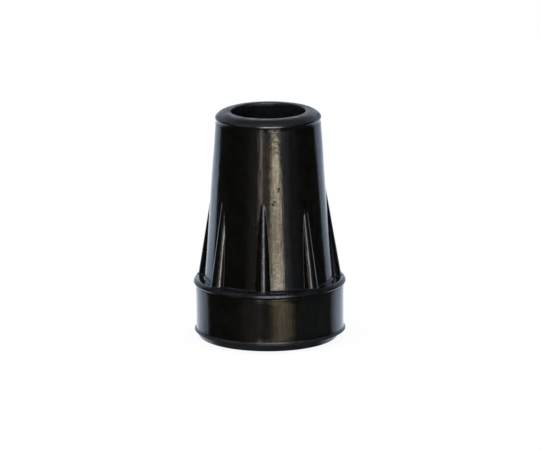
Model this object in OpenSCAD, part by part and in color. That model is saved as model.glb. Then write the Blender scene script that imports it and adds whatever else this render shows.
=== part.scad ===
// Rubber cane tip: a one-piece moulded ferrule that pushes on to the end of a
// walking cane. +Z is up, the origin is the centre of the face that meets the ground.

/* [Shaft socket] */
// Diameter of the blind socket that grips the cane's shaft
socket_d = 19; // [16:0.5:20]
// Depth of the socket below the mouth
socket_depth = 42.4; // [34:0.2:46]
// Rounding of the mouth's inner edge
mouth_round = 0.3; // [0.2:0.1:0.8]

/* [Collar] */
// Height of the whole tip, from the ground to the mouth
height = 58.6; // [57:0.2:66]
// Diameter over the collar at its widest
collar_d = 26.9; // [26.4:0.1:28.4]
// Depth of the collar's widest line below the mouth
collar_drop = 1.8; // [1.6:0.1:2.3]
// Radius of the flat ring round the mouth, where the collar's crown starts to fall away
crown_start_r = 10.6; // [10.4:0.1:11.4]
// Rounding of the collar's outer edge
collar_round = 0.5; // [0.3:0.05:0.8]
// Drop from the collar's widest line to the neck, where it meets the shank
neck_drop = 1.5; // [1.2:0.05:1.8]
// Depth of the step at the neck, from the shank's top edge in to the collar's waist
neck_depth = 0.15; // [0.05:0.05:0.4]

/* [Shank] */
// Diameter of the tapered shank at its top edge
shank_top_d = 26.9; // [26.2:0.1:27.2]
// Diameter of the tapered shank where it meets the foot
shank_foot_d = 32.6; // [30:0.1:33]

/* [Buttress ribs] */
// Number of ribs round the shank
rib_count = 8; // [4:1:10]
// Distance of each rib's ridge from the centre line, at the foot
rib_reach = 18.35; // [17.2:0.05:18.5]
// Radius of each rib's round back, at the foot
rib_foot_r = 1.9; // [1.6:0.05:2.3]
// Radius of each rib's round back where it runs out into the shank
rib_tip_r = 0.95; // [0.8:0.05:1.4]
// Height above the ground where the ribs run out into the shank
rib_tip_z = 37.5; // [32:0.5:42]
// Angle by which the two ribs on the mould's split line stand back from their even pitch
split_rib_back = 7; // [0:0.5:9]

/* [Foot] */
// Diameter over the bead round the foot's top edge
foot_d = 38.7; // [38.3:0.1:41]
// Height of the foot's top face above the ground
foot_h = 15.3; // [14:0.1:17]
// Diameter of the foot's side wall, between the bead and the lip
side_d = 37.6; // [37:0.1:37.8]
// Radius of the bead's round back, above its widest line
bead_r = 1.15; // [1:0.05:1.4]
// Radius of the bead's underside, from its widest line in to the side wall
bead_under_r = 0.45; // [0.3:0.05:0.7]
// How far the bead stands above the foot's top face
bead_rise = 0.1; // [0.05:0.05:0.4]
// Height of the thin lip above the ground
lip_z = 2.55; // [2.2:0.05:3]
// How far the lip stands out from the side wall
lip_out = 0.4; // [0.2:0.05:0.5]

/* [Tread] */
// Diameter of the tread where it meets the ground, before its edge is rounded
tread_d = 35.6; // [34:0.1:36]
// Rounding of the tread's outer edge
tread_round = 1.2; // [0.8:0.1:2]
// Number of ring grooves under the foot
groove_count = 3; // [1:1:4]
// Width of each ring groove at the ground face
groove_w = 2; // [1.4:0.1:2.4]
// Depth of each ring groove
groove_depth = 1.5; // [0.8:0.1:2]
// Distance from one ring groove to the next
groove_pitch = 4.1; // [3.6:0.1:4.2]
// Radius of the first ring groove's middle line
first_groove_r = 4.2; // [3:0.1:4.4]

/* [Hidden] */
rubber = [0.07, 0.07, 0.075];

// How far a cutting shape runs past the surface it opens, and one solid into the next
overlap = 1;

// Socket
socket_r = socket_d / 2;
socket_floor = height - socket_depth;
floor_round = 0.5;

// Collar: a small arc at the widest line runs into a large one that ends level at the mouth
collar_r = collar_d / 2;
collar_z = height - collar_drop;
edge_centre_r = collar_r - collar_round;
crown_run = edge_centre_r - crown_start_r;
crown_lift = collar_drop - collar_round;
crown_angle = 2 * (45 - atan(crown_lift / crown_run));
crown_r = crown_run * tan(crown_angle) + collar_drop;

// Shank
shank_top_r = shank_top_d / 2;
shank_foot_r = shank_foot_d / 2;
neck_z = collar_z - neck_drop;
shank_slope = (shank_foot_r - shank_top_r) / (neck_z - foot_h);
root_fillet = 0.5;
root_inset = 0.03;

// Underside of the collar: a straight run from its outer edge's rounding in to the waist
waist_r = shank_top_r - neck_depth;
waist_run = waist_r - edge_centre_r;
under_angle = asin(collar_round / norm([waist_run, neck_drop])) - atan(waist_run / neck_drop);

// Foot
side_r = side_d / 2;
foot_r = foot_d / 2;
bead_centre_r = foot_r - bead_r;
bead_centre_z = foot_h + bead_rise - bead_r;
lip_r = 0.3;
under_lip_inset = 0.1;
under_lip_r = side_r - under_lip_inset;
tread_r = tread_d / 2;
flank_angle = atan(lip_z / (under_lip_r - tread_r));
edge_inset = tread_round * tan(flank_angle / 2);
groove_draft = 0.15;

// Ribs: each one's axis leans in from the foot and its section tapers as it rises
rib_pitch = 360 / rib_count;
rib_axis_foot = rib_reach - rib_foot_r;
rib_axis_tip = shank_r(rib_tip_z) - rib_tip_r;
rib_rise = rib_tip_z - foot_h;
rib_lean = atan((rib_axis_foot - rib_axis_tip) / rib_rise);
rib_length = norm([rib_axis_foot - rib_axis_tip, rib_rise]);
rib_taper = (rib_foot_r - rib_tip_r) / rib_length;
rib_overrun = 4;

$fn = 96;

// Radius of the plain shank at height z
function shank_r(z) = shank_foot_r - shank_slope * (z - foot_h);

// 1 for a rib at the +X end of the split line, -1 for one at its -X end, 0 for the others
function split_side(turn) = round(0.6 * cos(turn));

// Angle round the centre line at which rib i stands
function rib_turn(i) = i * rib_pitch + split_rib_back * split_side(i * rib_pitch);

// Half section of a quarter-round fillet that fills a corner, with the corner at the origin
module corner_fillet(r) {
    difference() {
        square(r);
        translate([r, r]) circle(r);
    }
}

// Half section of the collar: its crown, its rounded outer edge and its underside
module collar_section() {
    intersection() {
        translate([crown_start_r, height - crown_r]) circle(crown_r);
        polygon([
            [crown_start_r, collar_z],
            [crown_start_r, height + overlap],
            [edge_centre_r + (collar_drop + overlap) / tan(crown_angle), height + overlap],
            [edge_centre_r, collar_z]
        ]);
    }
    translate([edge_centre_r, collar_z]) circle(collar_round);
    polygon([
        [0, neck_z],
        [waist_r, neck_z],
        [
            edge_centre_r + collar_round * cos(under_angle),
            collar_z - collar_round * sin(under_angle)
        ],
        [edge_centre_r, collar_z],
        [crown_start_r, collar_z],
        [crown_start_r, height],
        [0, height]
    ]);
}

// Half section of the tapered shank
module shank_section() {
    polygon([
        [0, foot_h - overlap],
        [shank_r(foot_h - overlap), foot_h - overlap],
        [shank_top_r, neck_z],
        [0, neck_z]
    ]);
    translate([shank_foot_r - root_inset, foot_h]) corner_fillet(root_fillet);
}

// Half section of the foot, with the bead round its top edge and the lip near its bottom
module foot_section() {
    polygon([
        [0, 0],
        [tread_r - edge_inset, 0],
        [tread_r + edge_inset * cos(flank_angle), edge_inset * sin(flank_angle)],
        [under_lip_r, lip_z],
        [side_r, lip_z],
        [side_r, bead_centre_z],
        [bead_centre_r, foot_h],
        [0, foot_h]
    ]);
    translate([tread_r - edge_inset, tread_round]) circle(tread_round);
    intersection() {
        translate([bead_centre_r, bead_centre_z]) circle(bead_r);
        translate([0, bead_centre_z]) square([foot_r, bead_r]);
    }
    translate([foot_r - bead_under_r, bead_centre_z]) circle(bead_under_r);
    translate([side_r + lip_out - lip_r, lip_z]) circle(lip_r);
}

// Half section of the socket, with its rounded floor corner and mouth edge
module socket_section() {
    difference() {
        translate([0, socket_floor]) square([socket_r, socket_depth + overlap]);
        translate([socket_r, socket_floor]) mirror([1, 0]) corner_fillet(floor_round);
    }
    translate([socket_r, height]) mirror([0, 1]) corner_fillet(mouth_round);
}

// Half section of one ring groove, with drafted sides, centred on radius r
module groove_section(r) {
    half = groove_w / 2;
    polygon([
        [r - half, -overlap],
        [r - half, 0],
        [r - half + groove_draft, groove_depth],
        [r + half - groove_draft, groove_depth],
        [r + half, 0],
        [r + half, -overlap]
    ]);
}

// The turned form: everything but the ribs
module turned_body() {
    rotate_extrude()
        difference() {
            union() {
                foot_section();
                shank_section();
                collar_section();
            }
            socket_section();
            for (i = [0 : groove_count - 1]) groove_section(first_groove_r + i * groove_pitch);
        }
}

// One buttress rib: a leaning round bar, sunk into the foot and running out inside the shank
module rib() {
    translate([rib_axis_foot, 0, foot_h])
        rotate([0, -rib_lean, 0])
            translate([0, 0, -overlap])
                cylinder(
                    h = overlap + rib_length + rib_overrun,
                    r1 = rib_foot_r + rib_taper * overlap,
                    r2 = rib_tip_r - rib_taper * rib_overrun
                );
}

module cane_tip() {
    color(rubber) {
        turned_body();
        for (i = [0 : rib_count - 1]) rotate([0, 0, rib_turn(i)]) rib();
    }
}

cane_tip();
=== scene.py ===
"""A moulded rubber cane tip, standing on its tread in a plain pale studio.

The tip is one moulding. Its turned form and one buttress rib are laid out as a
one-rib sector of skin, and Geometry Nodes repeat that sector round the axis, weld it
and give it the small unevenness of a real mould. Sizes in the classes are millimetres,
and angles and bearings are degrees.
"""

from __future__ import annotations

import logging
import math
from dataclasses import dataclass, field
from enum import Enum
from functools import partial
from typing import Any, Callable, Iterable, Sequence

import bpy
import numpy as np
from mathutils import Matrix, Vector


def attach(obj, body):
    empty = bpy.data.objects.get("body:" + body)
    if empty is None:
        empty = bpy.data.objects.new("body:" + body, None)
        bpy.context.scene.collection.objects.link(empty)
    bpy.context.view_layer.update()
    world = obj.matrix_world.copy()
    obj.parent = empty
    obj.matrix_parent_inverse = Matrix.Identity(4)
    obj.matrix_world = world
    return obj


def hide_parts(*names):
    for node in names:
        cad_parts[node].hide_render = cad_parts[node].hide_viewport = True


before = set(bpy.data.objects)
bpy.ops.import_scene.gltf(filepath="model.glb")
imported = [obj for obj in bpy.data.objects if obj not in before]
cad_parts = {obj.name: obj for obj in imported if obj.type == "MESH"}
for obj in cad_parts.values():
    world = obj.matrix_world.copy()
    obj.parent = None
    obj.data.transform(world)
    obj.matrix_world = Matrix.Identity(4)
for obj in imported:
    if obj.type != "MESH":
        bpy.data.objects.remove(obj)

LOG = logging.getLogger("cane_tip")
MM = 0.001
NODE = "cane_tip"
# Width of the rendered frame, in the pixels that Camera.pixels_per_mm counts
IMAGE_WIDTH = 540
# Height of the mouth's flat ring, and the height at which the sleeve's and the ribs' sizes
# at the foot are given
MOUTH_Z = 58.56
FOOT_Z = 15.3
# Radius of the smallest ring round the middle of a flat face
POLE = 0.5
# Most of a noise texture's values lie between these two
NOISE_SPAN = (0.3, 0.7)

# Blender's names for the nodes that are used most. A RANGE node's inputs are its value,
# the two ends that it comes from and the two ends that it goes to.
MATH = "ShaderNodeMath"
VECTOR = "ShaderNodeVectorMath"
RANGE = "ShaderNodeMapRange"
NOISE = "ShaderNodeTexNoise"
MIX = "ShaderNodeMix"
MOVE = "GeometryNodeSetPosition"
# The two colours that a MIX node takes and the one that it gives, and the same for the
# floats of a random value, by number, because their other sockets have the same names
MIX_ENDS = (6, 7)
MIXED = 2
RANDOM_ENDS = (2, 3)
DRAWN = 1
# The socket that takes each type of value
SOCKETS = {int: "NodeSocketInt", float: "NodeSocketFloat", bpy.types.Material: "NodeSocketMaterial"}


class Sheen(Enum):
    """How a zone shines: 0 is polished, 1 is dull, 2 is chalky, 3 is chalky and greyed."""

    POLISHED = 0.0
    SOFTENED = 0.25
    RUBBED = 0.55
    DULL = 1.0
    CHALKY = 2.0
    GREYED = 3.0


class Mark(Enum):
    """The point attributes of the skin, by name."""

    SATIN = "satin"
    WAVE = "wave"
    TREAD = "tread"
    TURN = "turn"
    LIFT = "lift"
    PINCH = "pinch"


# A point of the half section: its radius, its height and the surface there
Spot = tuple[float, float, Sheen]
# add_node with its tree already given
AddNode = Callable[..., bpy.types.Node]


# --------------------------------------------------------------------------- helpers


def linear(hex_colour: str) -> tuple[float, float, float, float]:
    """Turns an sRGB hex colour to linear values.

    Args:
        hex_colour: Six hex digits, with or without a leading hash.

    Returns:
        Linear red, green and blue, and an alpha of 1.
    """
    digits = hex_colour.lstrip("#")
    channels = [int(digits[i : i + 2], 16) / 255 for i in (0, 2, 4)]
    rgb = [c / 12.92 if c <= 0.04045 else ((c + 0.055) / 1.055) ** 2.4 for c in channels]
    return rgb[0], rgb[1], rgb[2], 1.0


def add_node(
    tree: bpy.types.NodeTree,
    kind: str,
    *inputs: Any,
    named: dict[str | int, Any] | None = None,
    **settings: Any,
) -> bpy.types.Node:
    """Adds one node to a tree.

    Args:
        tree: The shader or geometry tree.
        kind: The node's Blender type name.
        *inputs: What its first inputs take, in order: an output socket, a node whose first
            output is meant, or a plain value.
        named: What other inputs take, by socket name or number.
        **settings: Attributes of the node, set before its sockets are read.

    Returns:
        The new node.
    """
    node = tree.nodes.new(kind)
    for name, value in settings.items():
        setattr(node, name, value)
    for key, value in {**dict(enumerate(inputs)), **(named or {})}.items():
        socket = node.inputs[key]
        if isinstance(value, bpy.types.Node):
            value = value.outputs[0]
        if isinstance(value, bpy.types.NodeSocket):
            tree.links.new(value, socket)
        else:
            socket.default_value = value
    return node


def cleared(holder: bpy.types.Material | bpy.types.World) -> AddNode:
    """Empties the node tree of a material or a world.

    Args:
        holder: The material or the world.

    Returns:
        The function that adds nodes to its tree.
    """
    holder.use_nodes = True
    holder.node_tree.nodes.clear()
    return partial(add_node, holder.node_tree)


def linked(name: str, data: bpy.types.ID) -> bpy.types.Object:
    """Makes an object and links it to the scene.

    Args:
        name: The object's name.
        data: Its mesh, camera or lamp.

    Returns:
        The object, at the origin.
    """
    thing = bpy.data.objects.new(name, data)
    bpy.context.scene.collection.objects.link(thing)
    return thing


def ease(value: float, start: float, end: float) -> float:
    """Returns a smooth step from 0 at start to 1 at end; start may be the greater."""
    share = min(1.0, max(0.0, (value - start) / (end - start)))
    return share * share * (3 - 2 * share)


def arc(
    centre: tuple[float, float],
    radius: float,
    start: float,
    end: float,
    steps: int,
    sheen: Sheen = Sheen.POLISHED,
) -> list[Spot]:
    """Lists points along an arc of the half section.

    Args:
        centre: Radius and height of the arc's centre.
        radius: The arc's own radius.
        start: First angle in degrees, from straight outwards, towards up.
        end: Last angle in degrees.
        steps: Number of equal steps.
        sheen: The surface along it.

    Returns:
        steps + 1 spots.
    """
    angles = [math.radians(start + (end - start) * i / steps) for i in range(steps + 1)]
    return [(centre[0] + radius * math.cos(a), centre[1] + radius * math.sin(a), sheen) for a in angles]


def run(
    start: tuple[float, float],
    end: tuple[float, float],
    steps: int,
    sheen: Sheen = Sheen.POLISHED,
) -> list[Spot]:
    """Lists points along a straight run of the half section, both ends included."""
    (r, z), reach, rise = start, end[0] - start[0], end[1] - start[1]
    return [(r + reach * i / steps, z + rise * i / steps, sheen) for i in range(steps + 1)]


def placed(origin: tuple[float, float], outline: Iterable[Spot]) -> list[Spot]:
    """Lists the points of an outline whose radii and heights count from an origin."""
    return [(origin[0] + r, origin[1] + z, sheen) for r, z, sheen in outline]


@dataclass(frozen=True)
class Row:
    """One ring of the skin.

    Attributes:
        angles: Half the sector's angles, in radians from the rib's middle plane.
        radii: Distance from the axis at each angle.
        heights: Height at each angle.
        satin: Sheen of the ring, as in Sheen.
        wave: How much of the mould's unevenness the ring takes, from 0 to 1.
        tread: How much the ring follows the mould's lower plate, from 0 to 1.
        turn: How much the ring follows a rib that stands off its pitch, from 0 to 1.
        lift: How much the ring follows a rib that runs out higher or lower, from 0 to 1.
        pinch: How much the ring is drawn in on the mould's split line, from 0 to 1.
    """

    angles: np.ndarray
    radii: np.ndarray
    heights: np.ndarray
    satin: float = 0.0
    wave: float = 1.0
    tread: float = 0.0
    turn: float = 0.0
    lift: float = 0.0
    pinch: float = 0.0

    def marks(self) -> dict[Mark, float]:
        """Returns the ring's attributes, turn and lift before they fade beside the rib."""
        return {mark: getattr(self, mark.value) for mark in Mark}


# --------------------------------------------------------------------------- the moulding


@dataclass
class Socket:
    """The blind socket that grips the shaft."""

    radius: float = 9.5
    floor_z: float = 16.2
    top_z: float = MOUTH_Z
    floor_round: float = 0.5
    mouth_round: float = 0.3
    floor_start: float = 3.0
    floor_margin: float = 0.2
    wall_margins: tuple[float, float] = (1.2, 1.0)

    def profile(self) -> list[Spot]:
        """Lists the half section from the floor's middle to the mouth's flat ring.

        Returns:
            Its spots, from the axis outwards and up.
        """
        inside = Sheen.CHALKY
        corner = (self.radius - self.floor_round, self.floor_z + self.floor_round)
        edge = (self.radius + self.mouth_round, self.top_z - self.mouth_round)
        floor = [(r, self.floor_z) for r in (self.floor_start, corner[0] - self.floor_margin)]
        low, high = self.floor_z + self.wall_margins[0], self.top_z - self.wall_margins[1]
        spots = [(0.0, self.floor_z, inside), (POLE, self.floor_z, inside)]
        spots += run(*floor, 2, inside)
        spots += arc(corner, self.floor_round, -90, 0, 5, inside)
        spots += run((self.radius, low), (self.radius, high), 11, inside)
        return spots + arc(edge, self.mouth_round, 180, 90, 7, Sheen.DULL)


@dataclass
class Collar:
    """The rounded collar round the mouth, and the waist under it.

    edge_turn is how far its outer edge is rounded under. The waist's first point lies
    waist_in inside it and waist_gap under that edge, and its last step_gap over the step.
    """

    radius: float = 13.44
    top_z: float = MOUTH_Z
    widest_z: float = 56.85
    crown_start: float = 10.6
    edge_round: float = 0.65
    edge_turn: float = 5.0
    step_z: float = 55.65
    waist: float = 13.372
    waist_in: float = 0.01
    waist_gap: float = 0.12
    step_gap: float = 0.03

    def crown(self) -> list[Spot]:
        """Lists the half section from the flat ring to the underside of the outer edge.

        Returns:
            Its spots, from the mouth outwards.
        """
        centre_r = self.radius - self.edge_round
        reach, lift = centre_r - self.crown_start, self.top_z - self.widest_z - self.edge_round
        meet = math.degrees(2 * (math.pi / 4 - math.atan2(lift, reach)))
        crown = reach * math.tan(math.radians(meet)) + self.top_z - self.widest_z
        middle = (self.crown_start, self.top_z - crown)
        edge = (centre_r, self.widest_z)
        spots = arc(middle, crown, 90, meet, 10, Sheen.DULL)
        return spots + arc(edge, self.edge_round, meet, -self.edge_turn, 9, Sheen.SOFTENED)[1:]

    def neck(self) -> list[Spot]:
        """Lists the half section of the waist, from under the edge to the step.

        Returns:
            Its spots, downwards.
        """
        top = self.widest_z - self.edge_round * math.sin(math.radians(self.edge_turn))
        upper = (self.waist - self.waist_in, top - self.waist_gap)
        return run(upper, (self.waist, self.step_z + self.step_gap), 4)


@dataclass
class Sleeve:
    """The tapered sleeve between the collar and the foot."""

    top_radius: float = 13.4
    top_z: float = 55.25
    foot_radius: float = 16.22
    foot_z: float = FOOT_Z
    shoulder_z: float = 55.57
    shoulder_depth: float = 0.08
    flare: float = 0.0013
    flare_z: float = 30.0

    @property
    def slope(self) -> float:
        """How much the radius grows for each millimetre down."""
        return (self.foot_radius - self.top_radius) / (self.top_z - self.foot_z)

    def radius_at(self, z: float) -> float:
        """Returns the sleeve's radius at a height; it flares a little towards the foot."""
        flare = self.flare * max(0.0, self.flare_z - z) ** 2
        return self.foot_radius - self.slope * (z - self.foot_z) + flare

    def shoulder(self) -> list[Spot]:
        """Returns the sleeve's top edge, just under the collar's waist."""
        ends = (self.shoulder_z, self.shoulder_z - self.shoulder_depth)
        return run(*((self.radius_at(z), z) for z in ends), 1)


@dataclass
class Ribs:
    """The buttress ribs: leaning, tapering round bars that die into the sleeve.

    A crease of a small radius joins each rib's sides to the sleeve. The points of rib and
    crease take up least_angle or more, and the sleeve's start at beside, in radians, from
    them. Two pairs of numbers say where a ring stops following its rib: tip_fade in
    millimetres over the run-out, and side_fade in degrees beside the rib, both from none
    to all.
    """

    count: int = 8
    reach: float = 18.46
    foot_round: float = 1.9
    tip_round: float = 0.95
    foot_z: float = FOOT_Z
    tip_z: float = 37.5
    crease: float = 0.09
    least_crease: float = 0.05
    beside: float = 0.003
    back_steps: int = 8
    crease_steps: int = 3
    sleeve_steps: int = 9
    least_angle: float = 3.2
    tip_fade: tuple[float, float] = (14.0, 2.0)
    side_fade: tuple[float, float] = (22.0, 9.0)
    sleeve: Sleeve = field(default_factory=Sleeve)

    def _share(self, z: float) -> float:
        """Returns how far up the ribs a height lies, from 0 at the foot to 1 at the run-out."""
        return (z - self.foot_z) / (self.tip_z - self.foot_z)

    def _corners(self, z: float, grow: float) -> tuple[float, float, float, float, float, float]:
        """Measures the rib's outline at a height.

        Args:
            z: Height.
            grow: How far the outline is grown outwards.

        Returns:
            The sleeve's radius, the bar's middle and radius, the crease's radius, and the
            bearing of the crease's centre from the axis and from the bar's middle.
        """
        sleeve = self.sleeve.radius_at(z) + grow
        share = self._share(z)
        foot, tip = self.reach - self.foot_round, self.sleeve.radius_at(self.tip_z) - self.tip_round
        middle = foot + (tip - foot) * share
        back = self.foot_round + (self.tip_round - self.foot_round) * share + grow
        crease = max(self.crease - grow, self.least_crease)
        centre = sleeve + crease
        cosine = (centre**2 + middle**2 - (back + crease) ** 2) / (2 * middle * centre)
        turn = math.acos(min(1.0, cosine))
        side = math.atan2(centre * math.sin(turn), centre * math.cos(turn) - middle)
        return sleeve, middle, back, crease, turn, side

    def radius_at(self, angle: float, z: float, grow: float = 0.0) -> float:
        """Returns the outline's distance from the axis.

        Args:
            angle: Angle from the rib's middle plane, in radians.
            z: Height.
            grow: How far the outline is grown outwards, as for a fillet under it.

        Returns:
            The radius of sleeve, crease or rib, whichever is outermost there.
        """
        sleeve, middle, back, crease, turn, side = self._corners(z, grow)
        if turn <= 0.0 or angle >= turn:
            return sleeve
        limit = math.atan2(back * math.sin(side), middle + back * math.cos(side))
        if angle <= limit:
            across = middle * math.sin(angle)
            return middle * math.cos(angle) + math.sqrt(max(0.0, back**2 - across**2))
        centre = sleeve + crease
        across = centre * math.sin(turn - angle)
        return centre * math.cos(turn - angle) - math.sqrt(max(0.0, crease**2 - across**2))

    def angles(self, z: float, grow: float = 0.0) -> np.ndarray:
        """Lists the half sector's angles at a height, crowded where the rib curves.

        Args:
            z: Height.
            grow: How far the outline is grown outwards, as for a fillet under it.

        Returns:
            Angles in radians, from the rib's middle plane to the middle of the next sleeve
            panel.
        """
        _, middle, back, _, turn, side = self._corners(z, grow)
        sweep = np.linspace(0.0, side if turn > 0 else 0.0, self.back_steps + 1)
        backs = np.arctan2(back * np.sin(sweep), middle + back * np.cos(sweep))
        creases = np.linspace(backs[-1], turn, self.crease_steps + 1)[1:]
        near = np.concatenate([backs, creases])
        least = math.radians(self.least_angle) * np.linspace(0, 1, len(near))
        near = np.maximum(near, least)
        far = np.linspace(near[-1] + self.beside, math.pi / self.count, self.sleeve_steps)
        return np.concatenate([near, far])

    def row(self, z: float, grow: float = 0.0, satin: float = 0.0) -> Row:
        """Makes one ring of sleeve and ribs at a height.

        Args:
            z: Height.
            grow: How far the outline is grown outwards, as for a fillet under it.
            satin: Sheen of the ring, as in Sheen.

        Returns:
            The ring, which follows its rib's errors less and less over the run-out.
        """
        angles = self.angles(z, grow)
        radii = np.array([self.radius_at(float(a), z, grow) for a in angles])
        fade = ease(z, *(self.tip_z + over for over in self.tip_fade))
        lift = max(0.0, min(1.0, self._share(z))) * fade
        return Row(angles, radii, np.full(len(angles), z), satin=satin, turn=fade, lift=lift)


@dataclass
class Foot:
    """The wide foot: ledge, bead, side wall and the thin lip at the parting line.

    The bead's back is level with the ledge, and a hair of flash runs round its widest
    line. ledge_end and bead_arc are angles round the bead's middle, and under_arc round
    the middle of its underside's rounding, all from straight outwards. The four outlines
    at the end list points out from and over a corner: under_bead from where the wall
    meets the bead's underside, lip_top and lip_base from the wall at the lip's height,
    and lip_edge from the lip's outermost edge.
    """

    ledge_z: float = 15.45
    bead_radius: float = 19.3
    bead_round: float = 1.0
    ledge_end: float = 66.0
    bead_arc: tuple[float, float] = (60.0, 5.0)
    bead_under: float = 0.4
    under_arc: tuple[float, float] = (-12.0, -80.0)
    bead_blend: float = 0.06
    wall_top: float = 18.84
    wall_low: float = 18.74
    wall_bow: float = 0.04
    wall_shares: tuple[float, ...] = (0.12, 0.3, 0.5, 0.7, 0.88, 1.0)
    lip_z: float = 2.1
    lip_radius: float = 19.18
    lip_gap: float = 0.75
    root_round: float = 0.35
    flash: float = 0.035
    flash_half: float = 0.03
    under_bead: tuple[Spot, ...] = (
        (0.01, -0.02, Sheen.RUBBED),
        (-0.03, -0.08, Sheen.RUBBED),
        (-0.01, -0.22, Sheen.POLISHED),
        (0.0, -0.45, Sheen.POLISHED),
    )
    lip_top: tuple[Spot, ...] = (
        (0.03, 0.45, Sheen.GREYED),
        (0.1, 0.27, Sheen.GREYED),
        (0.22, 0.17, Sheen.GREYED),
    )
    lip_edge: tuple[Spot, ...] = (
        (-0.06, 0.11, Sheen.CHALKY),
        (-0.01, 0.06, Sheen.CHALKY),
        (0.0, -0.02, Sheen.DULL),
        (-0.05, -0.1, Sheen.DULL),
        (-0.2, -0.17, Sheen.DULL),
    )
    lip_base: tuple[Spot, ...] = ((0.0, -0.22, Sheen.GREYED), (-0.18, -0.3, Sheen.GREYED))

    @property
    def bead_centre(self) -> tuple[float, float]:
        """Radius and height of the bead's middle."""
        return self.bead_radius - self.bead_round, self.ledge_z - self.bead_round

    def floor_at(self, radius: float) -> float:
        """Finds how high the foot's top is, on the ledge or on the bead's back.

        Args:
            radius: Distance from the axis.

        Returns:
            The height there.
        """
        centre_r, centre_z = self.bead_centre
        across = abs(radius - centre_r)
        if across >= self.bead_round:
            return self.ledge_z
        bead = centre_z + math.sqrt(self.bead_round**2 - across**2)
        blended = math.hypot(bead - self.ledge_z, self.bead_blend)
        return 0.5 * (bead + self.ledge_z + blended) - self.bead_blend / 4

    def profile(self) -> list[Spot]:
        """Lists the half section from the bead's shoulder to under the lip.

        Returns:
            Its spots, downwards.
        """
        centre_z = self.bead_centre[1]
        spots = arc(self.bead_centre, self.bead_round, *self.bead_arc, 8, Sheen.CHALKY)
        flash = (self.bead_radius + self.flash, centre_z)
        spots += placed(flash, [(0.0, z, Sheen.CHALKY) for z in (self.flash_half, -self.flash_half)])
        under = (self.bead_radius - self.bead_under, centre_z)
        spots += arc(under, self.bead_under, *self.under_arc, 6)
        spots += placed((self.wall_top, centre_z - self.bead_under), self.under_bead)
        top, base = spots[-1][1], self.lip_z + self.lip_gap
        for share in self.wall_shares:
            wall = self.wall_top + (self.wall_low - self.wall_top) * share
            bowed = wall - self.wall_bow * math.sin(math.pi * share)
            spots.append((bowed, top + (base - top) * share, Sheen.POLISHED))
        spots += placed((self.wall_low, self.lip_z), self.lip_top)
        spots += placed((self.lip_radius, self.lip_z), self.lip_edge)
        return spots + placed((self.wall_low, self.lip_z), self.lip_base)


@dataclass
class Tread:
    """The tread: its rounded edge, the ground face and the ring grooves in it."""

    radius: float = 17.55
    edge_round: float = 0.8
    flank_top: tuple[float, float] = (18.38, 1.72)
    first_groove: float = 4.2
    pitch: float = 4.1
    grooves: int = 3
    half_width: float = 1.0
    depth: float = 1.5
    draft: float = 0.15
    lip_round: float = 0.2

    def _groove(self, middle: float) -> list[Spot]:
        """Returns one groove's half section, from its outer edge inwards.

        Args:
            middle: Radius of the groove's middle line.

        Returns:
            Its spots, with lips and floor corners rounded by shares of lip_round.
        """
        wide, low, soft = self.half_width, self.depth, self.lip_round
        narrow = wide - self.draft
        outer = [
            (wide + soft, 0.0),
            (wide + soft * 0.3, soft * 0.08),
            (wide, soft * 0.4),
            (wide - self.draft * 0.3, soft * 1.3),
            (narrow + 0.02, low - soft * 1.2),
            (narrow - soft * 0.25, low - soft * 0.3),
            (narrow - soft, low),
        ]
        inner = [(-across, z) for across, z in reversed(outer)]
        return [(middle + across, z, Sheen.DULL) for across, z in outer + inner]

    def profile(self) -> list[Spot]:
        """Lists the half section from under the lip to the middle of the ground face.

        Returns:
            Its spots, down the edge and then inwards over the grooves.
        """
        flank = math.atan2(self.flank_top[1], self.flank_top[0] - self.radius)
        centre = (self.radius - self.edge_round * math.tan(flank / 2), self.edge_round)
        edge = arc(centre, self.edge_round, -90 + math.degrees(flank), -90, 8, Sheen.GREYED)
        spots = run(self.flank_top, edge[0][:2], 3, Sheen.GREYED)[:-1] + edge
        for i in reversed(range(self.grooves)):
            spots += self._groove(self.first_groove + self.pitch * i)
        return spots + [(POLE, 0.0, Sheen.DULL), (0.0, 0.0, Sheen.DULL)]


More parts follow.
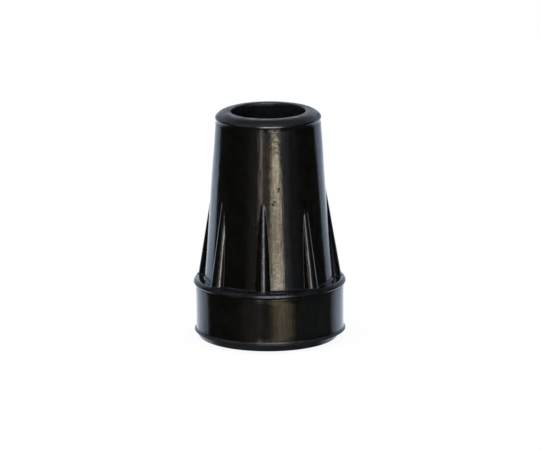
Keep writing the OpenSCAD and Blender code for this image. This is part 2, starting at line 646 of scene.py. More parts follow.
class MouldTree:
    """The Geometry Nodes tree that repeats the sector and gives it a real mould's errors."""

    def __init__(self, sizes: dict[str, Any]) -> None:
        """Makes the tree, its named inputs and what several of its steps read.

        Args:
            sizes: The inputs by name, each with its value, whose type gives the socket's.
        """
        self.tree = bpy.data.node_groups.new("ribbed_moulding", "GeometryNodeTree")
        face = self.tree.interface
        face.new_socket("Geometry", in_out="INPUT", socket_type="NodeSocketGeometry")
        for name, value in sizes.items():
            face.new_socket(name, in_out="INPUT", socket_type=SOCKETS[type(value)])
        face.new_socket("Geometry", in_out="OUTPUT", socket_type="NodeSocketGeometry")
        add = partial(add_node, self.tree)
        self.add: AddNode = add
        self.size = add("NodeGroupInput").outputs
        self.marks = {
            mark: add("GeometryNodeInputNamedAttribute", mark.value, data_type="FLOAT") for mark in Mark
        }
        self.pitch = add(MATH, math.tau, self.size["Ribs"], operation="DIVIDE")
        self.place = add("GeometryNodeInputPosition")
        self.x, self.y, _ = add("ShaderNodeSeparateXYZ", self.place).outputs
        flat = add(VECTOR, self.place, (1.0, 1.0, 0.0), operation="MULTIPLY")
        self.outward = add(VECTOR, flat, operation="NORMALIZE")

    def _repeated(self) -> bpy.types.Node:
        """Sets out one sector for each rib, turned by its share of the circle, and welds them.

        Returns:
            The whole skin, still even.
        """
        add, size = self.add, self.size
        spots = add("GeometryNodePoints", size["Ribs"])
        turn = add(MATH, add("GeometryNodeInputIndex"), self.pitch, operation="MULTIPLY")
        facing = add("ShaderNodeCombineXYZ", named={"Z": turn})
        sector = {"Instance": size["Geometry"], "Rotation": facing}
        copies = add("GeometryNodeInstanceOnPoints", spots, named=sector)
        whole = add("GeometryNodeRealizeInstances", copies)
        return add("GeometryNodeMergeByDistance", whole, named={"Distance": size["Weld"]})

    def _errors(self, rib: bpy.types.Node) -> list[bpy.types.Node]:
        """Draws each rib's own errors of pitch and of run-out.

        Args:
            rib: The number of the rib that each point is nearest to.

        Returns:
            How far each point turns and how far it slides with its rib.
        """
        add, size, errors = self.add, self.size, []
        for kind, mark in (("Pitch", Mark.TURN), ("Run-out", Mark.LIFT)):
            draw = {**dict(zip(RANDOM_ENDS, (-1.0, 1.0))), "ID": rib, "Seed": size[f"{kind} Seed"]}
            chance = add("FunctionNodeRandomValue", named=draw, data_type="FLOAT").outputs[DRAWN]
            scaled = add(MATH, chance, size[f"{kind} Error"], operation="MULTIPLY")
            errors.append(add(MATH, scaled, self.marks[mark], operation="MULTIPLY"))
        return errors

    def _ribs_moved(self, skin: bpy.types.Node) -> bpy.types.Node:
        """Moves the ribs off their even places, and leaves the plain sleeve as it is.

        Each rib was cut by hand in the mould: it stands a little off its pitch and runs
        out a little high or low. The two ribs on the mould's split line, at +X and -X,
        stand back from their pitch, and all the ribs are shifted a little to one side.

        Args:
            skin: The welded skin.

        Returns:
            The skin with its ribs turned about the axis and slid along the sleeve's slope.
        """
        add, size, marks = self.add, self.size, self.marks
        bearing = add(MATH, self.y, self.x, operation="ARCTAN2")
        share = add(MATH, bearing, self.pitch, operation="DIVIDE")
        nearest = add(MATH, share, operation="ROUND")
        rib = add(MATH, nearest, size["Ribs"], operation="FLOORED_MODULO")
        pitch_error, run_out_error = self._errors(rib)

        # 0.6 of the cosine rounds to 1 at +X, to -1 at -X, and to 0 at the other ribs
        even = add(MATH, rib, self.pitch, operation="MULTIPLY")
        sideways = add(MATH, even, operation="COSINE")
        weighed = add(MATH, sideways, 0.6, operation="MULTIPLY")
        on_split = add(MATH, weighed, operation="ROUND")
        back = add(MATH, on_split, size["Split Rib Back"], operation="MULTIPLY")
        set_back = add(MATH, back, marks[Mark.TURN], pitch_error, operation="MULTIPLY_ADD")
        turning = {"Vector": self.place, "Angle": set_back}
        turned = add("ShaderNodeVectorRotate", named=turning, rotation_type="Z_AXIS")

        inward = add(MATH, size["Sleeve Slope"], -1.0, operation="MULTIPLY")
        lean = add(VECTOR, self.outward, named={"Scale": inward}, operation="SCALE")
        along = add(VECTOR, lean, (0.0, 0.0, 1.0), operation="ADD")
        slide = add(VECTOR, along, named={"Scale": run_out_error}, operation="SCALE")
        aside = add(MATH, size["Rib Shift"], marks[Mark.TURN], operation="MULTIPLY")
        shift = add("ShaderNodeCombineXYZ", aside)
        offset = add(VECTOR, slide, shift, operation="ADD")
        return add(MOVE, skin, named={"Position": turned, "Offset": offset})

    def _neck_drawn_in(self, skin: bpy.types.Node) -> bpy.types.Node:
        """Draws the neck in where the mould's two halves meet, at +X and -X.

        Args:
            skin: The skin so far.

        Returns:
            The skin with its neck drawn in.
        """
        add = self.add
        squared = add(VECTOR, self.outward, self.outward, operation="MULTIPLY")
        ends = add(VECTOR, squared, (-1.0, 0.0, 0.0), operation="DOT_PRODUCT").outputs["Value"]
        pinch = add(MATH, ends, self.size["Neck Pinch"], operation="MULTIPLY")
        drawn = add(MATH, pinch, self.marks[Mark.PINCH], operation="MULTIPLY")
        pull = add(VECTOR, self.outward, named={"Scale": drawn}, operation="SCALE")
        return add(MOVE, skin, named={"Offset": pull})

    def _swollen(self, skin: bpy.types.Node) -> bpy.types.Node:
        """Adds a slow swell along the normal, so that long reflections waver.

        Args:
            skin: The skin so far.

        Returns:
            The swollen skin.
        """
        add, size = self.add, self.size
        scale = add(MATH, 1.0, size["Unevenness Size"], operation="DIVIDE")
        grain = {"W": size["Swell Seed"], "Scale": scale, "Detail": 1.0, "Roughness": 0.4}
        swell = add(NOISE, self.place, named=grain, noise_dimensions="4D")
        centred = add(MATH, swell, 0.5, operation="SUBTRACT")
        deep = add(MATH, centred, size["Unevenness"], operation="MULTIPLY")
        swelling = add(MATH, deep, self.marks[Mark.WAVE], operation="MULTIPLY")
        normal = add("GeometryNodeInputNormal")
        push = add(VECTOR, normal, named={"Scale": swelling}, operation="SCALE")
        return add(MOVE, skin, named={"Offset": push})

    def _tread_worn(self, skin: bpy.types.Node) -> bpy.types.Node:
        """Shifts the tread with the mould's lower plate, and wears it away on its -X side.

        Args:
            skin: The skin so far.

        Returns:
            The skin with its tread shifted and worn.
        """
        add, size = self.add, self.size
        level = add(MATH, size["Tread Radius"], self.x, operation="SUBTRACT")
        clear = add(MATH, level, 0.0, operation="MAXIMUM")
        worn = add(MATH, clear, size["Tread Wear"], operation="MULTIPLY")
        slip = add("ShaderNodeCombineXYZ", size["Tread Shift"], named={"Z": worn})
        plate = add(VECTOR, slip, named={"Scale": self.marks[Mark.TREAD]}, operation="SCALE")
        return add(MOVE, skin, named={"Offset": plate})

    def build(self) -> bpy.types.NodeTree:
        """Puts the steps together and ends them in plain smooth rubber.

        Returns:
            The finished tree.
        """
        add = self.add
        skin = self._repeated()
        for step in (self._ribs_moved, self._neck_drawn_in, self._swollen, self._tread_worn):
            skin = step(skin)
        smooth = add("GeometryNodeSetShadeSmooth", skin)
        real = add("GeometryNodeRealizeInstances", smooth)
        coated = add("GeometryNodeSetMaterial", real, named={"Material": self.size["Rubber"]})
        add("NodeGroupOutput", coated)
        return self.tree


@dataclass
class CaneTip:
    """The whole moulding, as one closed skin.

    The first block of numbers says how the rings are spread and welded, and how they shine
    at the ribs' root and on the ledge. The second says how far the moulding is from its
    even form, and its three seeds draw the errors.
    """

    name: str = "cane_tip_moulding"
    socket: Socket = field(default_factory=Socket)
    collar: Collar = field(default_factory=Collar)
    sleeve: Sleeve = field(default_factory=Sleeve)
    ribs: Ribs = field(default_factory=Ribs)
    foot: Foot = field(default_factory=Foot)
    tread: Tread = field(default_factory=Tread)

    weld: float = 0.002
    under_shoulder: float = 0.35
    over_run_out: float = 0.8
    plain_rows: int = 14
    ribbed_rows: int = 42
    row_crowding: float = 0.85
    root_steps: int = 5
    root_lead: float = 0.04
    root_satin: float = 2.2
    ledge_satin: float = 0.12
    ledge_shares: tuple[float, ...] = (0.12, 0.28, 0.45, 0.6, 0.74, 0.87, 1.0)

    unevenness: float = 0.03
    unevenness_size: float = 9.0
    swell_seed: float = 4.0
    pitch_error: float = 1.4
    pitch_seed: int = 12888
    run_out_error: float = 1.6
    run_out_seed: int = 53949
    split_rib_back: float = 7.0
    rib_shift: float = -0.16
    neck_pinch: float = 0.13
    tread_shift: float = -0.5
    tread_wear: float = 0.0075

    @staticmethod
    def _turned(spots: Iterable[Spot], angles: np.ndarray, **marks: float) -> list[Row]:
        """Returns plain rings, one through each spot of a half section."""
        ones = np.ones(len(angles))
        return [Row(angles, r * ones, z * ones, satin=sheen.value, **marks) for r, z, sheen in spots]

    def rows(self) -> list[Row]:
        """Lists the skin's rings, from the socket's floor over the collar to the ground face.

        Returns:
            The rings in order, each joined to the next.
        """
        ribs, foot = self.ribs, self.foot
        start = ribs.tip_z + self.over_run_out
        top = self.sleeve.shoulder_z - self.under_shoulder
        low = foot.ledge_z + foot.root_round
        above, below = ribs.angles(start), ribs.angles(foot.ledge_z, foot.root_round)
        rows = self._turned(self.socket.profile(), above, wave=0.0)
        rows += self._turned(self.collar.crown(), above, wave=0.3)
        rows += self._turned(self.collar.neck(), above, pinch=1.0)
        rows += self._turned(self.sleeve.shoulder(), above)
        plain, ribbed = self.plain_rows, self.ribbed_rows
        rows += [ribs.row(top + (start - top) * i / plain) for i in range(plain)]
        crowded = [(i / ribbed) ** self.row_crowding for i in range(ribbed + 1)]
        rows += [ribs.row(start + (low - start) * share) for share in crowded]
        rows += self._root()
        rows += self._ledge(below)
        rows += self._turned(foot.profile(), below, wave=0.6)
        return rows + self._turned(self.tread.profile(), below, wave=0.0, tread=1.0)

    def _floor(self, radii: np.ndarray) -> np.ndarray:
        """Returns the heights of the foot's top at some radii."""
        return np.array([self.foot.floor_at(float(r)) for r in radii])

    def _root(self) -> list[Row]:
        """Lists the rings of the small fillet where sleeve and ribs meet the foot's top.

        Returns:
            The rings, downwards and outwards.
        """
        size, base = self.foot.root_round, self.foot.ledge_z
        rows = [self.ribs.row(base + size - self.root_lead, satin=self.root_satin)]
        for step in range(1, self.root_steps + 1):
            turn = math.radians(90 * step / self.root_steps)
            ring = self.ribs.row(base, size * (1 - math.cos(turn)))
            heights = self._floor(ring.radii) + size * (1 - math.sin(turn))
            rows.append(Row(ring.angles, ring.radii, heights, satin=self.root_satin, turn=1.0))
        return rows

    def _ledge(self, angles: np.ndarray) -> list[Row]:
        """Lists the rings from the fillet out over the ledge to the bead's shoulder.

        Args:
            angles: Half the sector's angles, the same for each ring.

        Returns:
            The rings, outwards.
        """
        rows, foot, satin = [], self.foot, self.ledge_satin
        inner = np.array([self.ribs.radius_at(float(a), foot.ledge_z, foot.root_round) for a in angles])
        outer = foot.bead_centre[0] + foot.bead_round * math.cos(math.radians(foot.ledge_end))
        for share in self.ledge_shares:
            radii = inner + (outer - inner) * share
            rows.append(Row(angles, radii, self._floor(radii), satin=satin, wave=0.6, turn=1.0 - share))
        return rows

    def sector(self) -> bpy.types.Mesh:
        """Builds the one-rib sector of skin, from one sleeve panel's middle to the next.

        Returns:
            A mesh in metres, with one point attribute for each mark.
        """
        points: list[tuple[float, float, float]] = []
        marks: dict[Mark, list[float]] = {mark: [] for mark in Mark}
        index: list[list[int]] = []
        for row in self.rows():
            ring: list[int] = []
            angles = np.concatenate([-row.angles[:0:-1], row.angles])
            radii = np.concatenate([row.radii[:0:-1], row.radii])
            heights = np.concatenate([row.heights[:0:-1], row.heights])
            for angle, radius, z in zip(angles, radii, heights):
                if ring and radius == 0.0:
                    ring.append(ring[0])
                    continue
                ring.append(len(points))
                points.append((radius * math.cos(angle) * MM, radius * math.sin(angle) * MM, z * MM))
                fade = ease(abs(math.degrees(angle)), *self.ribs.side_fade)
                for mark, value in row.marks().items():
                    beside = mark in (Mark.TURN, Mark.LIFT)
                    marks[mark].append(value * fade if beside else value)
            index.append(ring)
        faces = []
        for upper, lower in zip(index, index[1:]):
            for i in range(len(upper) - 1):
                quad = [upper[i], lower[i], lower[i + 1], upper[i + 1]]
                faces.append(list(dict.fromkeys(quad)))
        mesh = bpy.data.meshes.new(f"{self.name}_sector")
        mesh.from_pydata(points, [], faces)
        for mark, values in marks.items():
            mesh.attributes.new(mark.value, "FLOAT", "POINT").data.foreach_set("value", values)
        mesh.update()
        return mesh

    def _sizes(self, rubber: bpy.types.Material) -> dict[str, Any]:
        """Lists the tree's inputs.

        Args:
            rubber: The material of the moulding.

        Returns:
            Their values by name, in metres and radians.
        """
        return {
            "Ribs": self.ribs.count,
            "Weld": self.weld * MM,
            "Pitch Error": math.radians(self.pitch_error),
            "Pitch Seed": self.pitch_seed,
            "Run-out Error": self.run_out_error * MM,
            "Run-out Seed": self.run_out_seed,
            "Split Rib Back": math.radians(self.split_rib_back),
            "Rib Shift": self.rib_shift * MM,
            "Neck Pinch": self.neck_pinch * MM,
            "Sleeve Slope": self.sleeve.slope,
            "Unevenness": self.unevenness * MM,
            "Unevenness Size": self.unevenness_size * MM,
            "Swell Seed": self.swell_seed,
            "Tread Shift": self.tread_shift * MM,
            "Tread Radius": self.tread.radius * MM,
            "Tread Wear": self.tread_wear,
            "Rubber": rubber,
        }

    def build(self, rubber: bpy.types.Material) -> bpy.types.Object:
        """Builds the finished moulding.

        Args:
            rubber: The material it is moulded in.

        Returns:
            The moulding as one plain mesh object at the origin.
        """
        sizes = self._sizes(rubber)
        blank = linked(self.name, self.sector())
        modifier = blank.modifiers.new("ribbed_moulding", "NODES")
        modifier.node_group = MouldTree(sizes).build()
        for item in modifier.node_group.interface.items_tree:
            if item.in_out == "INPUT" and item.name in sizes:
                modifier[item.identifier] = sizes[item.name]
        bpy.context.view_layer.update()
        shown = blank.evaluated_get(bpy.context.evaluated_depsgraph_get())
        mesh = bpy.data.meshes.new_from_object(shown)
        mesh.name = self.name
        bpy.data.objects.remove(blank)
        return linked(self.name, mesh)


# --------------------------------------------------------------------------- the finish


@dataclass(frozen=True)
class Nick:
    """One small pit in the sleeve, where gas was trapped against the mould.

    Attributes:
        turn: Degrees round the axis, from the front towards +X.
        height: Millimetres over the ground.
        size: Its radius, in millimetres.
    """

    turn: float
    height: float
    size: float

    def place(self) -> tuple[float, float, float]:
        """Returns its middle, on the sleeve, in metres."""
        radius, turn = Sleeve().radius_at(self.height), math.radians(self.turn)
        return radius * math.sin(turn) * MM, -radius * math.cos(turn) * MM, self.height * MM


@dataclass(frozen=True)
class MouldedRubber:
    """Carbon-black filled rubber, hot moulded in a steel mould.

    The polished steel leaves a gloss with fine drag marks along the pull, faint mottling
    where it was polished by hand, and a few pits from trapped gas. Real drag marks are a
    tenth of a millimetre wide or less, too fine to show, so they are drawn 0.4 mm wide.
    Wax that blooms out of the rubber leaves a thin patchy film, paler and less glossy
    than clean rubber. Sizes are millimetres. A pair named for gloss or roughness is what
    multiplies it where its pattern is low and where it is high. relief is the strength of
    the relief on polished rubber and, from the sheen relief_end on, on the rest. A nick
    is at its full depth over the share nick_floor of its radius.
    """

    name: str = "natural_rubber_black_moulded"
    polished: str = "#020202"
    bloomed: str = "#0d0d0b"
    dull: str = "#08090b"
    dull_bloomed: str = "#1b1c1e"
    greyed: str = "#242527"
    polished_roughness: float = 0.12
    dull_roughness: float = 0.42
    chalky_roughness: float = 0.24
    ior: float = 1.52
    gloss: float = 0.5
    chalky_gloss: float = 0.2
    relief: tuple[float, float] = (1.0, 0.2)
    relief_end: float = 0.5
    drag_width: float = 0.4
    drag_length: float = 12.0
    drag_height: float = 0.016
    drag_gloss: tuple[float, float] = (1.32, 0.68)
    bloom_size: float = 3.2
    bloom_span: tuple[float, float] = (0.35, 0.65)
    bloom_gloss: tuple[float, float] = (1.2, 0.75)
    mottle_size: float = 2.4
    mottle_height: float = 0.032
    mottle_roughness: tuple[float, float] = (0.7, 1.3)
    pit_spacing: float = 2.3
    pit_radius: float = 0.3
    pit_depth: float = 0.06
    pit_share: float = 0.1
    nicks: tuple[Nick, ...] = (
        Nick(12.6, 56.1, 0.35),
        Nick(12.3, 51.9, 0.3),
        Nick(15.5, 41.3, 0.38),
        Nick(15.0, 40.8, 0.38),
        Nick(10.7, 38.0, 0.42),
        Nick(8.8, 37.35, 0.42),
        Nick(0.7, 46.1, 0.35),
    )
    nick_depth: float = 0.025
    nick_floor: float = 0.4
    nick_gloss: tuple[float, float] = (1.0, 0.45)

    def _nicked(self, add: AddNode, place: Any) -> Any:
        """Adds the mask of the nicks.

        Args:
            add: Adds a node to the material's tree.
            place: Each point's place on the object, in metres.

        Returns:
            Its last node, which gives 1 on their floors and 0 beside them.
        """
        mask: Any = 0.0
        for nick in self.nicks:
            gap = add(VECTOR, place, nick.place(), operation="DISTANCE").outputs["Value"]
            inside = add(RANGE, gap, nick.size * MM, nick.size * self.nick_floor * MM)
            mask = add(MATH, inside, mask, operation="MAXIMUM")
        return mask

    def _patterns(self, add: AddNode, place: Any) -> list[Any]:
        """Adds the drag marks, the mottling and the wax film.

        Args:
            add: Adds a node to the material's tree.
            place: Each point's place on the object, in metres.

        Returns:
            Their three nodes, in that order.
        """
        along = (1.0, 1.0, self.drag_width / self.drag_length)
        drawn = add(VECTOR, place, along, operation="MULTIPLY")
        patterns = []
        for way, size, detail, rough in (
            (drawn, self.drag_width, 3.0, 0.7),
            (place, self.mottle_size, 3.0, 0.6),
            (place, self.bloom_size, 6.0, 0.8),
        ):
            grain = {"Scale": 1 / (size * MM), "Detail": detail, "Roughness": rough}
            patterns.append(add(NOISE, way, named=grain))
        return patterns

    def _pits(self, add: AddNode, place: Any) -> Any:
        """Adds the scattered pits.

        Args:
            add: Adds a node to the material's tree.
            place: Each point's place on the object, in metres.

        Returns:
            The node of their depth, which is below 0 inside them.
        """
        cells = add("ShaderNodeTexVoronoi", place, named={"Scale": 1 / (self.pit_spacing * MM)}).outputs
        lot = add("ShaderNodeSeparateColor", cells["Color"])
        size = self.pit_radius / self.pit_spacing
        reach = add(RANGE, lot, 1.0 - self.pit_share, 1.0, 0.0, size)
        inside = add(MATH, reach, cells["Distance"], operation="SUBTRACT", use_clamp=True)
        return add(MATH, inside, -self.pit_depth * MM / size, operation="MULTIPLY")

    def _relief(self, add: AddNode, satin: Any, drag: Any, mottle: Any, nicked: Any, pits: Any) -> Any:
        """Adds the fine relief, strongest where the mould was polished.

        Args:
            add: Adds a node to the material's tree.
            satin: The sheen at each point, as in Sheen.
            drag: The drag marks.
            mottle: The mottling.
            nicked: The mask of the nicks.
            pits: The depth of the pits.

        Returns:
            The bump node.
        """
        height = pits
        for mask, lift in (
            (drag, self.drag_height),
            (mottle, self.mottle_height),
            (nicked, -self.nick_depth),
        ):
            height = add(MATH, mask, lift * MM, height, operation="MULTIPLY_ADD")
        strength = add(RANGE, satin, 0.0, self.relief_end, *self.relief)
        return add("ShaderNodeBump", strength, named={"Height": height, "Distance": 1.0})

    def _colour(self, add: AddNode, satin: Any, bloom: Any) -> Any:
        """Adds the colour by sheen and bloom.

        Args:
            add: Adds a node to the material's tree.
            satin: The sheen at each point, as in Sheen.
            bloom: How thick the wax film is, from 0 to 1.

        Returns:
            The colour's output.
        """
        by_bloom = []
        for shiny, matt in ((self.polished, self.dull), (self.bloomed, self.dull_bloomed)):
            ends = dict(zip(MIX_ENDS, (linear(shiny), linear(matt))))
            by_bloom.append(add(MIX, satin, named=ends, data_type="RGBA").outputs[MIXED])
        ends = dict(zip(MIX_ENDS, by_bloom))
        colour = add(MIX, bloom, named=ends, data_type="RGBA").outputs[MIXED]
        greying = add(RANGE, satin, Sheen.CHALKY.value, Sheen.GREYED.value)
        ends = dict(zip(MIX_ENDS, (colour, linear(self.greyed))))
        return add(MIX, greying, named=ends, data_type="RGBA").outputs[MIXED]

    def _roughness(self, add: AddNode, satin: Any, mottle: Any) -> Any:
        """Adds the roughness by sheen, uneven with the mottling.

        Args:
            add: Adds a node to the material's tree.
            satin: The sheen at each point, as in Sheen.
            mottle: The mottling.

        Returns:
            The roughness's last node.
        """
        rough = add(RANGE, satin, 0.0, Sheen.DULL.value, self.polished_roughness, self.dull_roughness)
        smoother = self.chalky_roughness - self.dull_roughness
        wax = add(RANGE, satin, Sheen.DULL.value, Sheen.CHALKY.value, 0.0, smoother)
        filmed = add(MATH, rough, wax, operation="ADD")
        uneven = add(RANGE, mottle, *NOISE_SPAN, *self.mottle_roughness)
        return add(MATH, filmed, uneven, operation="MULTIPLY")

    def _gloss(self, add: AddNode, satin: Any, drag: Any, bloom: Any, nicked: Any) -> Any:
        """Adds the strength of the reflection.

        Args:
            add: Adds a node to the material's tree.
            satin: The sheen at each point, as in Sheen.
            drag: The drag marks.
            bloom: How thick the wax film is, from 0 to 1.
            nicked: The mask of the nicks.

        Returns:
            The strength's last node.
        """
        gloss = add(RANGE, satin, Sheen.DULL.value, Sheen.CHALKY.value, self.gloss, self.chalky_gloss)
        for mask, span, ends in (
            (drag, NOISE_SPAN, self.drag_gloss),
            (bloom, (0.0, 1.0), self.bloom_gloss),
            (nicked, (0.0, 1.0), self.nick_gloss),
        ):
            share = add(RANGE, mask, *span, *ends)
            gloss = add(MATH, gloss, share, operation="MULTIPLY")
        return gloss

    def build(self) -> bpy.types.Material:
        """Builds the material from its patterns and its surface.

        Returns:
            The material.
        """
        material = bpy.data.materials.new(self.name)
        add = cleared(material)
        satin = add("ShaderNodeAttribute", attribute_name=Mark.SATIN.value).outputs["Fac"]
        place = add("ShaderNodeTexCoord").outputs["Object"]
        nicked = self._nicked(add, place)
        pits = self._pits(add, place)
        drag, mottle, film = self._patterns(add, place)
        bloom = add(RANGE, film, *self.bloom_span)
        surface = {
            "Base Color": self._colour(add, satin, bloom),
            "Roughness": self._roughness(add, satin, mottle),
            "IOR": self.ior,
            "Specular IOR Level": self._gloss(add, satin, drag, bloom, nicked),
            "Normal": self._relief(add, satin, drag, mottle, nicked, pits),
        }
        add("ShaderNodeOutputMaterial", add("ShaderNodeBsdfPrincipled", named=surface))
        return material


# --------------------------------------------------------------------------- the studio


@dataclass
class Camera:
    """The long-lens view from a little above.

    frame_right and frame_down move the view's middle by pixels, and clip is the nearest
    and the farthest that it shows.
    """

    bearing: float = 5.1
    rise: float = 13.354
    distance: float = 1588.0
    look_at: float = 29.0
    pixels_per_mm: float = 3.942
    frame_right: float = 0.85
    frame_down: float = 0.7
    roll: float = -0.54
    sensor: float = 36.0
    clip: tuple[float, float] = (50.0, 20000.0)

    def axes(self) -> tuple[Vector, Vector, Vector]:
        """Works out the view's directions, before its roll.

        Returns:
            Its right, up and forward directions.
        """
        turn, tip = math.radians(self.bearing), math.radians(self.rise)
        right = Vector((math.cos(turn), math.sin(turn), 0.0))
        level = Vector((-math.sin(turn), math.cos(turn), 0.0))
        forward = level * math.cos(tip) - Vector((0, 0, math.sin(tip)))
        return right, right.cross(forward), forward

    def towards(self, bearing: float) -> Vector:
        """Works out a level direction from the object.

        Args:
            bearing: Degrees to the right of the camera's bearing.

        Returns:
            The direction, one unit long.
        """
        right, _, forward = self.axes()
        front = Vector((-forward.x, -forward.y, 0.0)).normalized()
        turn = math.radians(bearing)
        return front * math.cos(turn) + right * math.sin(turn)

    def build(self) -> None:
        """Adds the camera and makes it the scene's."""
        right, up, forward = self.axes()
        data = bpy.data.cameras.new("camera")
        data.sensor_fit = "HORIZONTAL"
        data.sensor_width = self.sensor
        data.lens = self.pixels_per_mm * self.distance / IMAGE_WIDTH * self.sensor
        data.clip_start, data.clip_end = (reach * MM for reach in self.clip)
        target = Vector((0, 0, self.look_at))
        target += right * (self.frame_right / self.pixels_per_mm)
        target -= up * (self.frame_down / self.pixels_per_mm)
        level = Matrix((right, up, -forward)).transposed()
        turn = level @ Matrix.Rotation(math.radians(self.roll), 3, "Z")
        place = (target - forward * self.distance) * MM
        camera = linked("camera", data)
        camera.matrix_world = Matrix.Translation(place) @ turn.to_4x4()
        bpy.context.scene.camera = camera


@dataclass(frozen=True)
class Panel:
    """One far area of the studio round the object, as glossy rubber mirrors it.

    Attributes:
        bearing: Its two edges in degrees to the right of the camera's bearing.
        rise: Its lower and upper edges in degrees above level.
        soft: How many degrees its edges take to fade, across and upwards.
        colour: Its sRGB hex colour.
        strength: Its strength, where 1 is white.
    """

    bearing: tuple[float, float]
    rise: tuple[float, float]
    soft: tuple[float, float]
    colour: str
    strength: float


@dataclass(frozen=True)
class Station:
    """One level of a card: its height, its two edges' bearings and the glow at each.

    Attributes:
        height: Millimetres over the floor.
        edges: Bearings of its left and right edge, in degrees to the right of the camera's.
        glow: Strength at the left and right edge, where 1 is white.
    """

    height: float
    edges: tuple[float, float]
    glow: tuple[float, float]


@dataclass(frozen=True)
class Card:
    """One lit card close to the object, seen only as glossy rubber mirrors it.

    Attributes:
        name: The card's own name.
        colour: Its sRGB hex colour.
        distance: Its distance from the object's axis, in millimetres.
        soft: How many degrees its left and its right edge take to fade.
        stations: Its levels, from low to high.
        steps: How many strips it has across and upwards.
    """

    name: str
    colour: str
    distance: float
    soft: tuple[float, float]
    stations: tuple[Station, ...]
    steps: tuple[int, int] = (28, 40)

    def _glow(self, across: float, height: float) -> tuple[float, float]:
        """Works out one point of the card.

        Args:
            across: Share of the card's width, from its left edge.
            height: Millimetres over the floor.

        Returns:
            The point's bearing, and its glow, which fades towards both edges.
        """
        levels = [station.height for station in self.stations]
        columns = zip(*(station.edges + station.glow for station in self.stations))
        left, right, at_left, at_right = (float(np.interp(height, levels, column)) for column in columns)
        fade_left, fade_right = self.soft[0] / 2, self.soft[1] / 2
        bearing = left - fade_left + (right - left + fade_left + fade_right) * across
        share = min(1.0, max(0.0, (bearing - left) / (right - left)))
        level = at_left + (at_right - at_left) * share
        level *= ease(bearing, left - fade_left, left + fade_left)
        level *= ease(bearing, right + fade_right, right - fade_right)
        return bearing, level

    def build(self, camera: Camera) -> None:
        """Adds the card and stages it.

        Args:
            camera: The camera from whose bearing the card's bearings are counted.
        """
        columns, rows = self.steps
        low, high = self.stations[0].height, self.stations[-1].height
        points, glows = [], []
        for row in range(rows + 1):
            height = low + (high - low) * row / rows
            for column in range(columns + 1):
                bearing, glow = self._glow(column / columns, height)
                points.append((camera.towards(bearing) * self.distance + Vector((0, 0, height))) * MM)
                glows.append(glow)
        wide = columns + 1
        starts = (row * wide + column for row in range(rows) for column in range(columns))
        faces = [(at, at + 1, at + wide + 1, at + wide) for at in starts]
        mesh = bpy.data.meshes.new(self.name)
        mesh.from_pydata(points, [], faces)
        mesh.attributes.new("glow", "FLOAT", "POINT").data.foreach_set("value", glows)
        material = bpy.data.materials.new(self.name)
        add = cleared(material)
        level = add("ShaderNodeAttribute", attribute_name="glow").outputs["Fac"]
        light = add("ShaderNodeEmission", linear(self.colour), level)
        both = add("ShaderNodeAddShader", light, add("ShaderNodeBsdfTransparent"))
        add("ShaderNodeOutputMaterial", both)
        mesh.materials.append(material)
        card = linked(self.name, mesh)
        card.visible_camera = card.visible_diffuse = card.visible_shadow = False


@dataclass(frozen=True)
class Lamp:
    """One soft square lamp that faces the object, and that glossy rubber doesn't mirror.

    Attributes:
        name: The lamp's own name.
        place: Where it stands, in millimetres.
        size: Its side, in millimetres.
        power: Its power, in watts.
        aim: The height on the axis that it faces, in millimetres.
    """

    name: str
    place: tuple[float, float, float]
    size: float
    power: float
    aim: float = 30.0

    def build(self) -> None:
        """Adds the lamp."""
        data = bpy.data.lights.new(self.name, "AREA")
        data.size = self.size * MM
        data.energy = self.power
        lamp = linked(self.name, data)
        lamp.location = Vector(self.place) * MM
        way = Vector((0, 0, self.aim)) - Vector(self.place)
        lamp.rotation_euler = way.to_track_quat("-Z", "Y").to_euler()
        lamp.visible_glossy = False


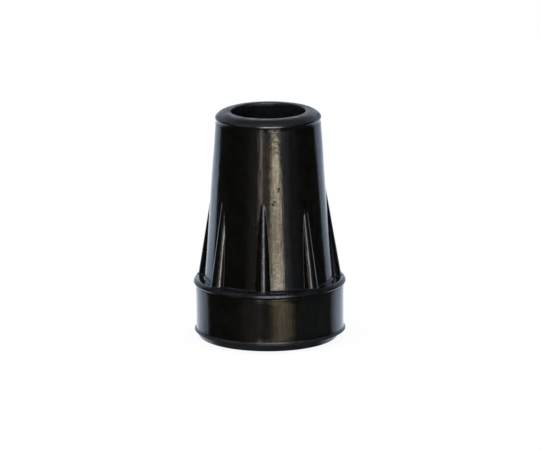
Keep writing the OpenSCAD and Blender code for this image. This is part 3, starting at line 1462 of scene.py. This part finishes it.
@dataclass
class Studio:
    """Floor, lamps, cards and surroundings.

    Glossy rays see the panels, with ambient between them, and the cards. Other rays see
    sky, and the camera sees white; floor_glow is how much of the floor is white to it.
    """

    camera: Camera = field(default_factory=Camera)
    white: str = "#ffffff"
    ambient: str = "#282824"
    sky: str = "#f0f5ff"
    sky_strength: float = 0.7
    floor_colour: str = "#f2f2f2"
    floor_glow: float = 0.93
    floor_size: float = 3000.0
    floor_drop: float = 0.02
    lamps: Sequence[Lamp] = (
        Lamp("lamp_over", (100.0, -150.0, 900.0), 900.0, 6.0),
        Lamp("lamp_left", (-800.0, -500.0, 500.0), 600.0, 3.0),
    )
    panels: Sequence[Panel] = (
        # Behind on the right: the wall, warm light on it, two layers of floor, and dim floor
        # nearer the front
        Panel((120, 200), (-11.5, 34), (7, 3), "#d0e2fb", 0.93),
        Panel((155, 200), (-40, 34), (30, 12), "#ffebd6", 0.22),
        Panel((113, 200), (-40, -11.5), (7, 3), "#d8e8ff", 0.8),
        Panel((124, 200), (-40, -11.5), (14, 3), "#e4ecff", 0.5),
        Panel((44, 108), (-40, -11.0), (14, 3), "#cfe3f0", 0.07),
        # Behind on the left: the wall, warm light on it, and two layers of floor
        Panel((-200, -126), (-11.5, 34), (6, 3), "#d2e7ff", 1.0),
        Panel((-200, -155), (-40, 34), (30, 12), "#ffebd6", 0.3),
        Panel((-200, -114), (-40, -11.5), (3, 3), "#dce9ff", 0.85),
        Panel((-200, -128), (-40, -11.5), (24, 3), "#e4ecff", 0.5),
        # In front: two pale areas on the right, and two warm ones left of the middle
        Panel((20, 40), (-9.5, 20), (16, 5), "#e4ecff", 0.45),
        Panel((40, 62), (-9.5, 20), (10, 5), "#e4ecff", 0.11),
        Panel((-42, -8), (-25, 20), (24, 8), "#ffe9dc", 0.16),
        Panel((-12, 3), (-9.5, 0), (6, 4), "#ffeede", 0.45),
        # The lights over the camera, and a weaker one high on the left
        Panel((3, 25), (-0.5, 9), (6, 3), "#f2f6ff", 5.0),
        Panel((-18, 27), (9, 46), (18, 8), "#eef3ff", 10.0),
        Panel((-90, -52), (24, 50), (8, 8), "#eef3ff", 0.8),
    )
    cards: Sequence[Card] = (
        Card("pale_strip", "#ffefeb", 200.0, (3.0, 3.0), (
            Station(-34, (-17.5, -12.5), (0.0, 0.0)),
            Station(-28, (-17.5, -12.5), (2.6, 2.6)),
            Station(60, (-17.5, -12.5), (2.9, 2.9)),
            Station(66, (-17.5, -12.5), (0.0, 0.0)),
        )),
        Card("tan_card", "#ffedcf", 400.0, (4.0, 4.0), (
            Station(-38, (3.0, 24.0), (0.0, 0.0)),
            Station(-34, (3.2, 24.0), (6.0, 3.6)),
            Station(-21, (3.2, 24.0), (3.6, 2.8)),
            Station(-11, (3.0, 23.0), (2.9, 4.3)),
            Station(0, (3.0, 23.8), (3.5, 5.4)),
            Station(7, (5.0, 22.6), (5.3, 6.6)),
            Station(12, (6.4, 21.6), (13.0, 13.0)),
            Station(17, (7.0, 20.2), (17.0, 14.0)),
            Station(19, (7.2, 19.2), (17.0, 14.0)),
            Station(21, (7.4, 18.7), (0.0, 0.0)),
        )),
        Card("brown_card", "#ffe2bd", 200.0, (16.0, 26.0), (
            Station(-66, (4, 31), (0.5, 2.1)),
            Station(-40, (4, 30), (0.6, 2.1)),
            Station(-36, (-2, 25), (1.0, 2.6)),
            Station(-31, (-6, 21), (1.2, 3.0)),
            Station(-27, (-6, 21), (0.0, 0.0)),
        )),
        Card("floor_sheen", "#ffffff", 200.0, (30.0, 30.0), (
            Station(-66, (-64, 96), (0.06, 0.08)),
            Station(-46, (-64, 96), (0.06, 0.08)),
            Station(-40, (-64, 96), (0.0, 0.0)),
        )),
    )

    def _world(self) -> None:
        """Sets the surroundings: white to the camera, panels in the dark to glossy rays."""
        world = bpy.data.worlds.new("studio")
        bpy.context.scene.world = world
        add = cleared(world)
        way = add("ShaderNodeTexCoord").outputs["Generated"]
        across, ahead, up = (
            add(VECTOR, way, axis, operation="DOT_PRODUCT").outputs["Value"]
            for axis in (self.camera.towards(90), self.camera.towards(0), Vector((0, 0, 1)))
        )
        bearing = add(MATH, add(MATH, across, ahead, operation="ARCTAN2"), operation="DEGREES")
        rise = add(MATH, add(MATH, up, operation="ARCSINE"), operation="DEGREES")
        total: Any = linear(self.ambient)[:3]
        for panel in self.panels:
            colour: Any = tuple(c * panel.strength for c in linear(panel.colour)[:3])
            for angle, edges, soft in (
                (bearing, panel.bearing, panel.soft[0]),
                (rise, panel.rise, panel.soft[1]),
            ):
                for edge, ends in zip(edges, ((0.0, 1.0), (1.0, 0.0))):
                    span = (edge - soft / 2, edge + soft / 2)
                    side = add(RANGE, angle, *span, *ends, interpolation_type="SMOOTHSTEP")
                    colour = add(VECTOR, colour, named={"Scale": side}, operation="SCALE")
            total = add(VECTOR, total, colour, operation="ADD")
        rays = add("ShaderNodeLightPath").outputs
        mirrored = add("ShaderNodeBackground", total)
        plain = add("ShaderNodeBackground", linear(self.sky), self.sky_strength)
        white = add("ShaderNodeBackground", linear(self.white))
        lit = add("ShaderNodeMixShader", rays["Is Glossy Ray"], plain, mirrored)
        seen = add("ShaderNodeMixShader", rays["Is Camera Ray"], lit, white)
        add("ShaderNodeOutputWorld", seen)

    def _floor(self) -> None:
        """Adds the pale floor, a matt white board that is nearly white to the camera."""
        size = self.floor_size * MM
        mesh = bpy.data.meshes.new("floor")
        corners = [(-size, -size, 0), (size, -size, 0), (size, size, 0), (-size, size, 0)]
        mesh.from_pydata(corners, [], [(0, 1, 2, 3)])
        floor = linked("floor", mesh)
        floor.location.z = -self.floor_drop * MM
        material = bpy.data.materials.new("matt_white_board")
        add = cleared(material)
        rays = add("ShaderNodeLightPath").outputs
        board = add("ShaderNodeBsdfDiffuse", linear(self.floor_colour))
        glow = add("ShaderNodeEmission", linear(self.white))
        share = add(MATH, rays["Is Camera Ray"], self.floor_glow, operation="MULTIPLY")
        add("ShaderNodeOutputMaterial", add("ShaderNodeMixShader", share, board, glow))
        mesh.materials.append(material)
        floor.visible_glossy = False

    def build(self) -> None:
        """Builds the camera, floor, lamps, cards and surroundings."""
        self.camera.build()
        self._world()
        self._floor()
        for card in self.cards:
            card.build(self.camera)
        for lamp in self.lamps:
            lamp.build()
        bpy.context.scene.view_settings.view_transform = "Standard"


def main() -> None:
    """Builds the studio and the cane tip, and reports each piece."""
    logging.basicConfig(level=logging.INFO, format="%(name)s: %(message)s")
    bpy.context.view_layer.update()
    Studio().build()
    rubber = MouldedRubber().build()
    tip = CaneTip()
    piece = tip.build(rubber)
    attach(piece, "root")
    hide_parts(NODE)
    LOG.info("%s: %d points, %d faces", piece.name, len(piece.data.vertices), len(piece.data.polygons))


if __name__ == "__main__":
    main()
